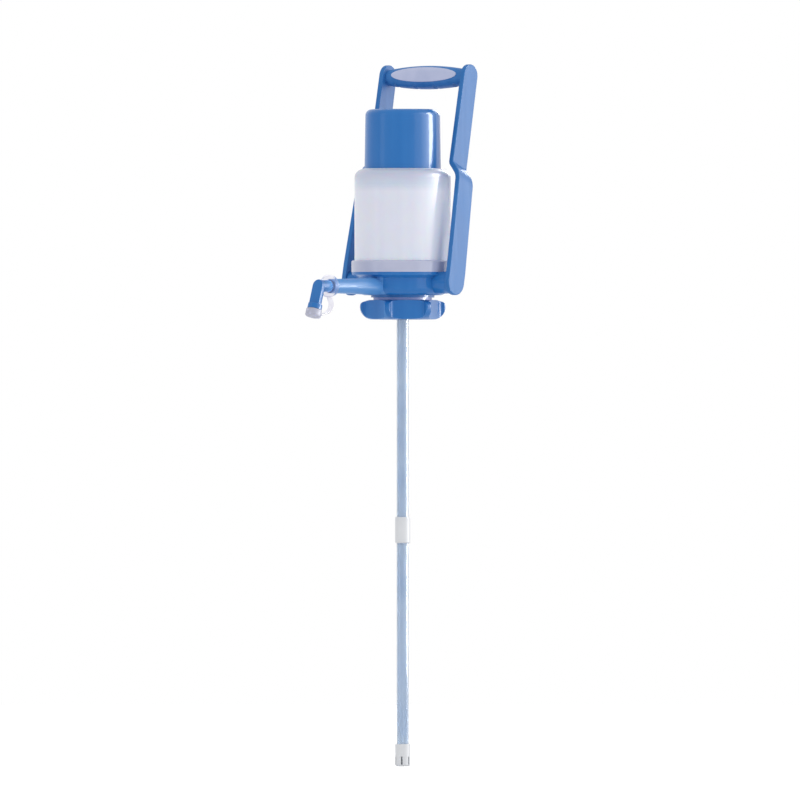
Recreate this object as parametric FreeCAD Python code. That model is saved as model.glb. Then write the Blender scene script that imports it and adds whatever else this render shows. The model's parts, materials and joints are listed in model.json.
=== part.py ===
import FreeCAD, Part
import math
import os

# A press-top hand pump for a returnable water bottle with a 55 mm crown.
# Sizes are in millimetres. The origin is the centre of the bottle's rim, where the
# gasket seats. +Z is up, the spout points to -Y and the handle leans back to +Y.

# ---- the bottle neck that the pump fits ------------------------------------
CROWN_DIAMETER = 55.0
CROWN_HEIGHT = 14.0
RECESS_DIAMETER = 50.0
MOUTH_DIAMETER = 41.6
CROWN_PLAY = 0.4
RECESS_PLAY = 0.3
MOUTH_PLAY = 0.3

# ---- neck plug and gasket --------------------------------------------------
PLUG_DEPTH = 14.0
PLUG_WALL = 2.5
PLUG_SHOULDER = 0.9
PLUG_LEAD = 1.5
PLUG_WEB = 3.0
GASKET_THICKNESS = 2.5
GASKET_PROUD = 0.5
GASKET_CLEARANCE = 0.9
PLUG_VENT_RADIUS = 2.6
PLUG_VENTS = 6

# ---- base body -------------------------------------------------------------
RIM_RADIUS = 31.8
RIM_HEIGHT = 2.2
DRUM_RADIUS = 45.2
DRUM_HEIGHT = 17.3
DRUM_WALL = 3.0
DRUM_FILLET = 8.0
FLOOR_THICKNESS = 3.8
FLANGE_RADIUS = 51.0
FLANGE_EDGE = 2.9
FLANGE_CHAMFER = 3.1
HOUSING_SINK = 2.4

# ---- collet and lock collar ------------------------------------------------
COLLET_ROOT_DEPTH = 4.5
COLLET_ROOT_WALL = 2.2
COLLET_WAIST_WALL = 1.5
COLLET_GAP = 2.5
COLLAR_LIP = 2.1
FINGER_WALL = 3.0
FINGERS = 6
FINGER_SLOT = 2.0
FINGER_PAD_DEGREES = 24.0
FINGER_RELIEF = 0.7
HOOK_HEIGHT = 5.0
HOOK_LEAD = 1.6
BEAD_HEIGHT = 1.5
BEAD_REACH = 1.5
COLLAR_CLEARANCE = 0.3
COLLAR_HEIGHT = 19.7
COLLAR_WALL = 2.8
COLLAR_POCKET = 0.8
COLLAR_POCKET_DEGREES = 28.0
LOBE_RADIUS = 43.0
LOBE_WIDTH = 6.5
LOBE_CORNER = 2.0
LOBE_ROOT_CURVE = 4.0
LOBE_TOP_CURVE = 4.5
LOBE_TOP_DROP = 2.8
LOBE_BELLY_CURVE = 13.0
LOBE_FIRST_DEGREES = -15.0

# ---- housing and its trim ring ---------------------------------------------
HOUSING_RADIUS = 48.25
HOUSING_WALL = 2.2
HOUSING_SHOULDER = 9.0
HOUSING_TOP_Z = 129.0
HOUSING_SEAM_Z = 112.5
HOUSING_LAP_HEIGHT = 4.0
HOUSING_FOOT_REACH = 2.2
HOUSING_FOOT_HEIGHT = 2.0
TRIM_RING_RADIUS = 51.4
TRIM_RING_HEIGHT = 11.5
TRIM_RING_CHAMFER = 1.0
ASSEMBLY_CLEARANCE = 0.1

# ---- press cap and its guide -----------------------------------------------
CAP_RADIUS = 38.25
CAP_DRAFT = 0.95
CAP_WALL = 2.2
CAP_ROOF = 2.6
CAP_EDGE = 6.5
CAP_HEIGHT = 59.8
CAP_SKIRT_BELOW = 11.0
CAP_MOUTH_CLEARANCE = 0.6
GUIDE_CLEARANCE = 0.4
GUIDE_FLANGE = 2.0
GUIDE_COLLAR_WALL = 1.8
GUIDE_STOP_GAP = 0.3

# ---- valve plate, bellows and springs --------------------------------------
PLATE_THICKNESS = 3.0
PLATE_SKIRT_DEPTH = 5.6
PLATE_SKIRT_WALL = 2.9
PLATE_CUP_WALL = 2.4
PLATE_CUP_HEIGHT = 5.0
SEAL_SECTION = 2.25
SEAL_GROOVE_HEIGHT = 2.7
BELLOWS_RADIUS = 30.8
BELLOWS_FOLD = 4.0
BELLOWS_WALL = 1.2
BELLOWS_FOLDS = 11
BELLOWS_END = 4.0
BELLOWS_CLEARANCE = 0.4
SEAT_DROP = 9.2
SEAT_THICKNESS = 3.0
CAP_POST_RADIUS = 3.5
CAP_POST_CIRCLE = 13.5
CAP_POSTS = 3
SPRING_RADIUS = 22.0
SPRING_WIRE = 1.8
SPRING_TURNS = 12

# ---- the two check valves --------------------------------------------------
VALVE_STEM_RADIUS = 2.0
VALVE_STEM_CLEARANCE = 0.06
VALVE_HEAD_THICKNESS = 1.6
VALVE_HEAD_EDGE = 0.5
VALVE_HEAD_LAP = 1.3
VALVE_SEAT_GAP = 0.1
VALVE_PORT_RADIUS = 1.5
VALVE_PORTS = 6
VALVE_SPRING_HEIGHT = 5.0
VALVE_SPRING_WIRE = 0.6
VALVE_SPRING_TURNS = 4
VALVE_KNOB_RADIUS = 3.4
VALVE_KNOB_HEIGHT = 2.4
VALVE_KNOB_TAPER = 1.0
INTAKE_PORT_CIRCLE = 6.0
DELIVERY_PORT_CIRCLE = 8.0

# ---- screws ----------------------------------------------------------------
SCREW_RADIUS = 1.5
SCREW_HEAD_RADIUS = 2.8
SCREW_HEAD_HEIGHT = 1.8
SCREW_HEAD_PLAY = 0.2
SCREW_DRIVE_RADIUS = 1.2
SCREW_DRIVE_DEPTH = 1.0
BASE_SCREWS = 4
BASE_SCREW_CIRCLE = 35.0
BASE_POST_RADIUS = 3.4
BASE_SCREW_TIP_SKIN = 1.2
CAP_SCREW_BITE = 6.4

# ---- water way -------------------------------------------------------------
WATERWAY_RADIUS = 3.5
RISER_WALL = 1.2
NOZZLE_DEPTH = 16.0
TUBE_WALL = 1.3
DIP_TUBE_TOP_GAP = 2.0
DIP_TUBE_REACH = 455.0
COUPLING_Z = -232.0
COUPLING_LENGTH = 26.0
COUPLING_WALL = 1.6
COUPLING_STOP = 2.0
STRAINER_LENGTH = 22.0
STRAINER_WALL = 1.5
STRAINER_BELOW = 13.0
STRAINER_SLOTS = 6
STRAINER_SLOT_WIDTH = 1.8
STRAINER_SLOT_HEIGHT = 8.0

# ---- spout -----------------------------------------------------------------
SPOUT_Z = 11.4
SPOUT_ROOT_RADIUS = 8.7
SPOUT_TIP_RADIUS = 7.05
SPOUT_REACH = 119.8
SPOUT_WALL_SPIGOT = 6.0
SPOUT_SPIGOT_PROUD = 1.2
SPOUT_SOCKET = 6.0
SWIVEL_RADIUS = 4.4
SWIVEL_CLEARANCE = 0.05
SWIVEL_LENGTH = 14.0
SWIVEL_END_GAP = 1.0
SWIVEL_RING_SECTION = 1.04
SWIVEL_RING_FROM_TIP = 8.0
TETHER_RING_RADIUS = 11.2
TETHER_RING_THICKNESS = 3.0
TETHER_RING_GAP = 0.3
TETHER_NECK_RADIUS = 5.2
ELBOW_STUB_LENGTH = 18.3
ELBOW_PIPE_RADIUS = 5.9
ELBOW_PANEL_HALF_WIDTH = 6.1
ELBOW_PANEL_FRONT = 3.3
ELBOW_PANEL_EDGE = 0.9
ELBOW_LEAN_DEGREES = 19.0
ELBOW_LIP_FROM = 19.4
ELBOW_LIP_LENGTH = 5.2
ELBOW_LIP_RADIUS = 7.2
ELBOW_SPIGOT_RADIUS = 5.6
ELBOW_SPIGOT_LENGTH = 5.4
ELBOW_BORE = 2.2
SPOUT_CAP_RADIUS = 7.9
SPOUT_CAP_LENGTH = 6.8
SPOUT_CAP_FLOOR = 1.4
SPOUT_CAP_GAP = 0.6
SPOUT_CAP_PLAY = 0.3
SPOUT_CAP_EDGE = 1.0
SPOUT_CAP_TAB = 2.6
SPOUT_CAP_TAB_FROM = 1.5
SPOUT_CAP_TAB_THICKNESS = 2.1
STRAP_WIDTH = 6.5
STRAP_THICKNESS = 1.3
STRAP_BULGE = 3.6
STRAP_SLACK = 15.0
STRAP_BEND = 5.0
STRAP_IN_RING = 1.0
STRAP_TO_TAB = 0.5

# ---- handle ----------------------------------------------------------------
PIVOT_Z = 16.0
HANDLE_LEAN_DEGREES = 11.7
LUG_RADIUS = 11.8
LUG_REACH = 61.8
LUG_ROOT = 38.0
LUG_TO_ARM = 0.3
PIN_RADIUS = 5.05
PIN_CLEARANCE = 0.05
PIN_BURIED = 16.0
PIN_IN_ARM = 2.8
BUSH_WALL = 1.2
ARM_THICKNESS = 5.2
ARM_LOW_RADIUS = 13.3
ARM_TOP_RADIUS = 11.5
ARM_LENGTH = 210.6
ARM_STRAIGHT = 14.0
ARM_WAIST_HEIGHT = 106.0
ARM_WAIST_IN = 3.6
ARM_KINK_HEIGHT = 11.5
ARM_KINK_IN = 13.9
ARM_FOOT_BEND = 9.0
ARM_SWEEP_BEND = 15.0
ARM_KINK_BEND = 4.5
ARM_KINK_SLOPE = 0.2
ARM_EDGE = 1.0
GRIP_MIDDLE_HEIGHT = 23.2
GRIP_END_HEIGHT = 15.5
GRIP_MIDDLE_DEPTH = 17.5
GRIP_END_DEPTH = 16.0
GRIP_CORNER = 7.4
GRIP_STATIONS = 5
GRIP_DROP = 1.3
GRIP_TENON_HEIGHT = 9.0
GRIP_TENON_DEPTH = 8.0
GRIP_TENON_LENGTH = 2.5
FINGER_PITCH = 24.4
FINGER_GROOVES = 4
FINGER_GROOVE_DEPTH = 2.2
FINGER_GROOVE_WIDTH = 5.0
FINGER_GROOVE_CURVE = 0.45
PAD_LENGTH = 80.8
PAD_HEIGHT = 15.2
PAD_SINK = 2.2
PAD_PROUD = 0.5
PAD_RISE = 1.4

# ---- how far a cut runs past the face that it opens, and what counts as nothing
OVERCUT = 1.0
TINY = 1e-6

# ---- places that follow from the sizes -------------------------------------
V = FreeCAD.Vector
UP = V(0, 0, 1)
FRONT = V(0, -1, 0)
SIDE = V(1, 0, 0)

PLUG_RADIUS = MOUTH_DIAMETER / 2 - MOUTH_PLAY
PLUG_SEAT_RADIUS = PLUG_RADIUS - PLUG_SHOULDER
COLLET_BORE = CROWN_DIAMETER / 2 + CROWN_PLAY
HOOK_BORE = RECESS_DIAMETER / 2 + RECESS_PLAY
COLLET_ROOT_RADIUS = COLLET_BORE + COLLET_ROOT_WALL
COLLET_WAIST_RADIUS = COLLET_BORE + COLLET_WAIST_WALL
FINGER_RADIUS = COLLET_BORE + FINGER_WALL
COLLET_ROOT_TOP_Z = GASKET_PROUD + COLLET_ROOT_DEPTH
COLLAR_TOP_Z = GASKET_PROUD - COLLET_GAP
COLLAR_BOTTOM_Z = COLLAR_TOP_Z - COLLAR_HEIGHT
COLLAR_BORE = FINGER_RADIUS + COLLAR_CLEARANCE
COLLAR_RADIUS = COLLAR_BORE + COLLAR_WALL
COLLAR_LIP_BORE = COLLET_WAIST_RADIUS + COLLAR_CLEARANCE
FINGER_TOP_Z = COLLAR_TOP_Z - COLLAR_LIP - COLLAR_CLEARANCE
HOOK_TOP_Z = -CROWN_HEIGHT - RECESS_PLAY
HOOK_BOTTOM_Z = HOOK_TOP_Z - HOOK_HEIGHT
BEAD_RADIUS = FINGER_RADIUS + BEAD_REACH
BEAD_TOP_Z = HOOK_BOTTOM_Z + BEAD_HEIGHT

DRUM_BOTTOM_Z = GASKET_PROUD + RIM_HEIGHT
DRUM_TOP_Z = DRUM_BOTTOM_Z + DRUM_HEIGHT
FLANGE_LOW_Z = DRUM_TOP_Z + FLANGE_CHAMFER
FLANGE_TOP_Z = FLANGE_LOW_Z + FLANGE_EDGE
FLOOR_TOP_Z = DRUM_BOTTOM_Z + FLOOR_THICKNESS
CAVITY_RADIUS = DRUM_RADIUS - DRUM_WALL
HOUSING_FOOT_Z = FLANGE_TOP_Z - HOUSING_SINK
HOUSING_BORE = HOUSING_RADIUS - HOUSING_WALL
HOUSING_ROOF_Z = HOUSING_TOP_Z - HOUSING_WALL
HOUSING_LAP_RADIUS = HOUSING_BORE + (HOUSING_WALL - ASSEMBLY_CLEARANCE) / 2
HOUSING_LAP_TOP_Z = HOUSING_SEAM_Z + HOUSING_LAP_HEIGHT
PLATE_LOW_Z = HOUSING_FOOT_Z + HOUSING_FOOT_HEIGHT
PLATE_TOP_Z = PLATE_LOW_Z + PLATE_THICKNESS
PLATE_SKIRT_RADIUS = CAVITY_RADIUS - ASSEMBLY_CLEARANCE
PLATE_CUP_BORE = BELLOWS_RADIUS + BELLOWS_CLEARANCE
PLATE_CUP_TOP_Z = PLATE_TOP_Z + PLATE_CUP_HEIGHT
BASE_SCREW_SEAT_Z = DRUM_BOTTOM_Z + SCREW_HEAD_HEIGHT + SCREW_HEAD_PLAY

CAP_TOP_Z = HOUSING_TOP_Z + CAP_HEIGHT
CAP_SKIRT_Z = HOUSING_TOP_Z - CAP_SKIRT_BELOW
CAP_TOP_RADIUS = CAP_RADIUS - CAP_DRAFT
GUIDE_TOP_Z = HOUSING_ROOF_Z - GUIDE_STOP_GAP
SEAT_TOP_Z = CAP_TOP_Z - CAP_ROOF - SEAT_DROP
SEAT_LOW_Z = SEAT_TOP_Z - SEAT_THICKNESS
SEAT_RADIUS = BELLOWS_RADIUS
STEM_BORE = VALVE_STEM_RADIUS + VALVE_STEM_CLEARANCE

PIPE_RADIUS = WATERWAY_RADIUS + RISER_WALL
DIP_TUBE_RADIUS = PIPE_RADIUS + TUBE_WALL
DIP_TUBE_TOP_Z = -DIP_TUBE_TOP_GAP
NOZZLE_BOTTOM_Z = DIP_TUBE_TOP_Z - NOZZLE_DEPTH

ARM_INNER_X = LUG_REACH + LUG_TO_ARM
ARM_MIDDLE_X = ARM_INNER_X + ARM_THICKNESS / 2
ARM_UPPER_X = ARM_MIDDLE_X - ARM_KINK_IN
GRIP_HALF_LENGTH = ARM_UPPER_X - ARM_THICKNESS / 2
BUSH_RADIUS = PIN_RADIUS + PIN_CLEARANCE + BUSH_WALL

SPOUT_AXIS_START = V(0, 0, SPOUT_Z)
ELBOW_CORNER = V(0, -(SPOUT_REACH + ELBOW_STUB_LENGTH), SPOUT_Z)
LEAN = math.radians(ELBOW_LEAN_DEGREES)
LEG_DOWN = V(0, -math.sin(LEAN), -math.cos(LEAN))
LEG_FRONT = V(0, -math.cos(LEAN), math.sin(LEAN))
ELBOW_LIP_END = ELBOW_LIP_FROM + ELBOW_LIP_LENGTH
SPOUT_CAP_FROM = ELBOW_LIP_END + SPOUT_CAP_GAP


# ---- shape helpers ---------------------------------------------------------
def rounded_wire(corners, place):
    """Closed wire through corners (a, b, radius); place turns (a, b) into a point."""
    spots = []
    for i, (a, b, radius) in enumerate(corners):
        here = place(a, b)
        back = place(*corners[i - 1][:2]) - here
        ahead = place(*corners[(i + 1) % len(corners)][:2]) - here
        if radius <= 0:
            spots.append((here, None, here))
            continue
        half_angle = back.getAngle(ahead) / 2
        back.normalize()
        ahead.normalize()
        inward = back + ahead
        inward.normalize()
        reach = radius / math.tan(half_angle)
        to_arc = radius / math.sin(half_angle) - radius
        spots.append((here + back * reach, here + inward * to_arc, here + ahead * reach))
    edges = []
    for i, (start, middle, end) in enumerate(spots):
        if middle is not None:
            edges.append(Part.Arc(start, middle, end).toShape())
        following = spots[(i + 1) % len(spots)][0]
        if end.distanceToPoint(following) > TINY:
            edges.append(Part.LineSegment(end, following).toShape())
    return Part.Wire(edges)


def turned(corners):
    """Solid of revolution about Z from an outline of (radius, z, corner radius)."""
    face = Part.Face(rounded_wire(corners, lambda r, z: V(r, 0, z)))
    return face.revolve(V(0, 0, 0), UP, 360)


def slab(corners, place, direction):
    """Prism of a rounded outline along a direction."""
    return Part.Face(rounded_wire(corners, place)).extrude(direction)


def rod(radius, start, end):
    """Round bar between two points."""
    return Part.makeCylinder(radius, start.distanceToPoint(end), start, end - start)


def post(radius, x, y, low, high):
    """Upright round bar."""
    return rod(radius, V(x, y, low), V(x, y, high))


def ring(outer, inner, low, high):
    """Upright ring between two heights."""
    return post(outer, 0, 0, low, high).cut(post(inner, 0, 0, low - OVERCUT, high + OVERCUT))


def along(corner, direction, distance):
    """Point at a distance from a corner."""
    return corner + direction * distance


def copies(shape, count, first_degrees=0.0):
    """The shape repeated evenly round the Z axis."""
    found = []
    for i in range(count):
        one = shape.copy()
        one.rotate(V(0, 0, 0), UP, first_degrees + 360.0 * i / count)
        found.append(one)
    return found


def joined(shapes):
    """One clean solid from touching shapes."""
    return shapes[0].fuse(shapes[1:]).removeSplitter()


def mirrored(shape):
    """The same piece on the other side of the YZ plane."""
    return shape.mirror(V(0, 0, 0), SIDE)


def coil(radius, wire, low, high, turns):
    """Round-wire compression spring standing between two heights."""
    height = high - low - wire
    path = Part.makeHelix(height / turns, height, radius)
    path.translate(V(0, 0, low + wire / 2))
    circle = Part.makeCircle(wire / 2, V(radius, 0, low + wire / 2), V(0, 1, 0))
    return Part.Wire(path.Edges).makePipeShell([Part.Wire(circle)], True, True)


def ribbon(points, thickness):
    """Outline (a, b, radius) of a strip of one thickness along (a, b, bend) points."""
    sides = ([], [])
    for i, (a, b, bend) in enumerate(points):
        here = V(a, b, 0)
        ahead = V(*points[i + 1][:2], 0) - here if i + 1 < len(points) else None
        back = here - V(*points[i - 1][:2], 0) if i else ahead
        ahead = ahead if ahead is not None else back
        back, ahead = V(back).normalize(), V(ahead).normalize()
        turn = back.cross(ahead).z
        normal = (UP.cross(back) + UP.cross(ahead)).normalize()
        reach = thickness / 2 / normal.dot(UP.cross(back))
        for side, sign in zip(sides, (1, -1)):
            spot = here + normal * (reach * sign)
            grown = bend - math.copysign(thickness / 2, turn * sign)
            side.append((spot.x, spot.y, grown if bend > 0 else 0.0))
    return sides[0] + sides[1][::-1]


def screw(x, y, head_z, direction, length):
    """Pan-head screw; head_z is where the head's underside bears."""
    base = V(x, y, head_z)
    top = along(base, direction, -SCREW_HEAD_HEIGHT)
    tip = along(base, direction, length)
    solid = joined([rod(SCREW_HEAD_RADIUS, top, base), rod(SCREW_RADIUS, base, tip)])
    return solid.cut(rod(SCREW_DRIVE_RADIUS, top, along(top, direction, SCREW_DRIVE_DEPTH)))


def on_circle(radius, degrees):
    """Plan position at an angle from +X."""
    turn = math.radians(degrees)
    return radius * math.cos(turn), radius * math.sin(turn)


def wedge(radius, degrees, low, high):
    """Sector of a disc, centred on +X."""
    sector = Part.makeCylinder(radius, high - low, V(0, 0, low), UP, degrees)
    sector.rotate(V(0, 0, 0), UP, -degrees / 2)
    return sector


# ---- neck parts ------------------------------------------------------------
def neck_plug():
    inner = PLUG_RADIUS - PLUG_WALL
    web_top = GASKET_THICKNESS + PLUG_WEB / 2
    outline = [
        (inner, -PLUG_DEPTH, 0), (PLUG_RADIUS - PLUG_LEAD / 2, -PLUG_DEPTH, 0),
        (PLUG_RADIUS, -PLUG_DEPTH + PLUG_LEAD, 0), (PLUG_RADIUS, 0, 0),
        (PLUG_SEAT_RADIUS, 0, 0), (PLUG_SEAT_RADIUS, FLOOR_TOP_Z, 0),
        (inner, FLOOR_TOP_Z, 0), (inner, web_top, 0), (PIPE_RADIUS, web_top, 0),
        (PIPE_RADIUS, web_top - PLUG_WEB, 0), (inner, web_top - PLUG_WEB, 0),
    ]
    vent_circle = (PIPE_RADIUS + inner) / 2
    vent = post(PLUG_VENT_RADIUS, vent_circle, 0, -PLUG_DEPTH, FLOOR_TOP_Z)
    return turned(outline).cut(copies(vent, PLUG_VENTS))


def neck_gasket():
    outer = COLLET_BORE - CROWN_PLAY / 2
    return ring(outer, PLUG_RADIUS + GASKET_CLEARANCE, 0, GASKET_THICKNESS)


def neck_collet():
    """Ring of sprung fingers that hook under the bottle's crown."""
    body = turned([
        (COLLET_BORE, COLLET_ROOT_TOP_Z, 0), (COLLET_BORE, HOOK_TOP_Z + HOOK_LEAD, 0),
        (HOOK_BORE, HOOK_TOP_Z, 0), (HOOK_BORE, HOOK_BOTTOM_Z + HOOK_LEAD, 0),
        (HOOK_BORE + HOOK_LEAD, HOOK_BOTTOM_Z, 0), (BEAD_RADIUS, HOOK_BOTTOM_Z, 0),
        (BEAD_RADIUS, BEAD_TOP_Z, 0), (FINGER_RADIUS, BEAD_TOP_Z, 0),
        (FINGER_RADIUS, FINGER_TOP_Z, 0), (COLLET_WAIST_RADIUS, FINGER_TOP_Z, 0),
        (COLLET_WAIST_RADIUS, GASKET_PROUD, 0), (COLLET_ROOT_RADIUS, GASKET_PROUD, 0),
        (COLLET_ROOT_RADIUS, COLLET_ROOT_TOP_Z, 0),
    ])
    slot_low = HOOK_BOTTOM_Z - OVERCUT
    slot = Part.makeBox(BEAD_RADIUS, FINGER_SLOT, FINGER_TOP_Z - slot_low)
    slot.translate(V(HOOK_BORE - OVERCUT, -FINGER_SLOT / 2, slot_low))
    relief = ring(BEAD_RADIUS, FINGER_RADIUS - FINGER_RELIEF, BEAD_TOP_Z, FINGER_TOP_Z)
    between = 360.0 / FINGERS - FINGER_PAD_DEGREES
    sector = wedge(BEAD_RADIUS + OVERCUT, between, BEAD_TOP_Z, FINGER_TOP_Z)
    slots = copies(slot, FINGERS, LOBE_FIRST_DEGREES)
    reliefs = [relief.common(one) for one in copies(sector, FINGERS, LOBE_FIRST_DEGREES)]
    return body.cut(slots + reliefs)


def lobed_plan():
    """Outline (x, y, radius) of the collar's lobes, seen from above."""
    half_turn = math.pi / FINGERS
    half_width = LOBE_WIDTH / 2
    root = (COLLAR_RADIUS - math.sin(half_turn) * half_width) / math.cos(half_turn)
    plan = []
    for i in range(FINGERS):
        turn = math.radians(LOBE_FIRST_DEGREES) + 2 * half_turn * i
        out, across = V(math.cos(turn), math.sin(turn), 0), V(-math.sin(turn), math.cos(turn), 0)
        for reach, aside, curve in (
            (root, -half_width, LOBE_ROOT_CURVE), (LOBE_RADIUS, -half_width, LOBE_CORNER),
            (LOBE_RADIUS, half_width, LOBE_CORNER), (root, half_width, LOBE_ROOT_CURVE),
        ):
            spot = out * reach + across * aside
            plan.append((spot.x, spot.y, curve))
    return plan


def lock_collar():
    """Quick-turn ring that holds the fingers in, with pockets that let them out again."""
    star = slab(lobed_plan(), lambda x, y: V(x, y, COLLAR_BOTTOM_Z), UP * COLLAR_HEIGHT)
    body = star.common(turned([
        (0, COLLAR_BOTTOM_Z, 0), (LOBE_RADIUS, COLLAR_BOTTOM_Z, LOBE_BELLY_CURVE),
        (LOBE_RADIUS, COLLAR_TOP_Z - LOBE_TOP_DROP, LOBE_TOP_CURVE), (COLLAR_RADIUS, COLLAR_TOP_Z, 0),
        (0, COLLAR_TOP_Z, 0),
    ]))
    lip_z = COLLAR_TOP_Z - COLLAR_LIP
    bead_z = BEAD_TOP_Z + COLLAR_CLEARANCE
    below = COLLAR_BOTTOM_Z - OVERCUT
    bore = post(COLLAR_BORE, 0, 0, below, lip_z)
    mouth = post(COLLAR_LIP_BORE, 0, 0, below, COLLAR_TOP_Z + OVERCUT)
    bead_room = post(BEAD_RADIUS + COLLAR_CLEARANCE, 0, 0, below, bead_z)
    pocket = post(COLLAR_BORE + COLLAR_POCKET, 0, 0, bead_z, lip_z)
    sector = wedge(LOBE_RADIUS, COLLAR_POCKET_DEGREES, bead_z, lip_z)
    pockets = [pocket.common(one) for one in copies(sector, FINGERS, LOBE_FIRST_DEGREES)]
    return body.cut([bore, mouth, bead_room] + pockets)


# ---- base ------------------------------------------------------------------
def base_outside():
    """The turned outer form of the base, with no cavity."""
    return turned([
        (0, GASKET_PROUD, 0), (RIM_RADIUS, GASKET_PROUD, 0), (RIM_RADIUS, DRUM_BOTTOM_Z, 0),
        (DRUM_RADIUS, DRUM_BOTTOM_Z, DRUM_FILLET), (DRUM_RADIUS, DRUM_TOP_Z, 0),
        (FLANGE_RADIUS, FLANGE_LOW_Z, 0), (FLANGE_RADIUS, FLANGE_TOP_Z, 0), (0, FLANGE_TOP_Z, 0),
    ])


def lug(side):
    """Round boss that carries one handle pivot."""
    boss = rod(LUG_RADIUS, V(side * LUG_ROOT, 0, PIVOT_Z), V(side * LUG_REACH, 0, PIVOT_Z))
    above = Part.makeBox(4 * LUG_REACH, 4 * LUG_RADIUS, LUG_RADIUS)
    above.translate(V(-2 * LUG_REACH, -2 * LUG_RADIUS, FLANGE_TOP_Z))
    return boss.cut(above)


def pivot_bore(side, radius, length):
    """Round bar on the pivot axis, from the lug's outer face inwards."""
    outer = V(side * LUG_REACH, 0, PIVOT_Z)
    return rod(radius, outer, outer - SIDE * (side * length))


def base_screw_places():
    step = 360.0 / BASE_SCREWS
    return [on_circle(BASE_SCREW_CIRCLE, step * (i + 0.5)) for i in range(BASE_SCREWS)]


def base_body():
    shell = joined([base_outside(), lug(1), lug(-1)])
    above = FLANGE_TOP_Z + OVERCUT
    cavity = post(CAVITY_RADIUS, 0, 0, FLOOR_TOP_Z, above)
    foot_room = post(HOUSING_RADIUS + ASSEMBLY_CLEARANCE, 0, 0, HOUSING_FOOT_Z, above)
    gasket_room = post(COLLET_BORE, 0, 0, 0, GASKET_THICKNESS)
    collet_room = ring(COLLET_ROOT_RADIUS, COLLET_BORE, GASKET_PROUD, COLLET_ROOT_TOP_Z)
    plug_room = post(PLUG_SEAT_RADIUS, 0, 0, 0, FLOOR_TOP_Z + OVERCUT)
    spout_hole = wall_spigot()
    shell = shell.cut([cavity, foot_room, gasket_room, collet_room, plug_room, spout_hole])
    places = base_screw_places()
    shell = joined([shell] + [post(BASE_POST_RADIUS, x, y, DRUM_BOTTOM_Z, PLATE_LOW_Z) for x, y in places])
    holes = []
    for x, y in places:
        holes.append(post(SCREW_RADIUS, x, y, 0, above))
        holes.append(post(SCREW_HEAD_RADIUS + SCREW_HEAD_PLAY, x, y, 0, BASE_SCREW_SEAT_Z))
    for side in (1, -1):
        holes.append(pivot_bore(side, BUSH_RADIUS, PIN_BURIED))
    return shell.cut(holes)


def base_screws():
    length = PLATE_CUP_TOP_Z - BASE_SCREW_TIP_SKIN - BASE_SCREW_SEAT_Z
    return Part.makeCompound([screw(x, y, BASE_SCREW_SEAT_Z, UP, length) for x, y in base_screw_places()])


def pivot_bushes():
    bushes = []
    for side in (1, -1):
        bore = pivot_bore(side, PIN_RADIUS + PIN_CLEARANCE, PIN_BURIED)
        bushes.append(pivot_bore(side, BUSH_RADIUS, PIN_BURIED).cut(bore))
    return Part.makeCompound(bushes)


def valve_holes(circle, low, high):
    """The ports and the stem's bore through a valve's seat."""
    ports = copies(post(VALVE_PORT_RADIUS, circle, 0, low - OVERCUT, high + OVERCUT), VALVE_PORTS)
    return ports + [post(STEM_BORE, 0, 0, low - OVERCUT, high + OVERCUT)]


def valve_plate():
    skirt_low = PLATE_LOW_Z - PLATE_SKIRT_DEPTH
    groove_top = PLATE_LOW_Z - (PLATE_SKIRT_DEPTH - SEAL_GROOVE_HEIGHT) / 2
    edge = HOUSING_BORE - ASSEMBLY_CLEARANCE
    groove_low = groove_top - SEAL_GROOVE_HEIGHT
    groove_radius = CAVITY_RADIUS - SEAL_SECTION
    skirt_bore = PLATE_SKIRT_RADIUS - PLATE_SKIRT_WALL
    cup_outer = PLATE_CUP_BORE + PLATE_CUP_WALL
    plate = turned([
        (0, PLATE_LOW_Z, 0), (skirt_bore, PLATE_LOW_Z, 0), (skirt_bore, skirt_low, 0),
        (PLATE_SKIRT_RADIUS, skirt_low, 0), (PLATE_SKIRT_RADIUS, groove_low, 0),
        (groove_radius, groove_low, 0), (groove_radius, groove_top, 0),
        (PLATE_SKIRT_RADIUS, groove_top, 0), (PLATE_SKIRT_RADIUS, PLATE_LOW_Z, 0),
        (edge, PLATE_LOW_Z, 0), (edge, PLATE_TOP_Z, 0), (cup_outer, PLATE_TOP_Z, 0),
        (cup_outer, PLATE_CUP_TOP_Z, 0), (PLATE_CUP_BORE, PLATE_CUP_TOP_Z, 0),
        (PLATE_CUP_BORE, PLATE_TOP_Z, 0), (0, PLATE_TOP_Z, 0),
    ])
    places = base_screw_places()
    plate = joined([plate] + [post(BASE_POST_RADIUS, x, y, PLATE_LOW_Z, PLATE_CUP_TOP_Z) for x, y in places])
    holes = valve_holes(DELIVERY_PORT_CIRCLE, PLATE_LOW_Z, PLATE_TOP_Z)
    holes.append(post(PLATE_CUP_BORE, 0, 0, PLATE_TOP_Z, PLATE_CUP_TOP_Z + OVERCUT))
    for x, y in places:
        holes.append(post(SCREW_RADIUS, x, y, skirt_low, PLATE_CUP_TOP_Z - BASE_SCREW_TIP_SKIN))
    return plate.cut(holes)


def housing_seal():
    groove_middle = PLATE_LOW_Z - PLATE_SKIRT_DEPTH / 2
    return Part.makeTorus(CAVITY_RADIUS - SEAL_SECTION / 2, SEAL_SECTION / 2, V(0, 0, groove_middle), UP)


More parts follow.
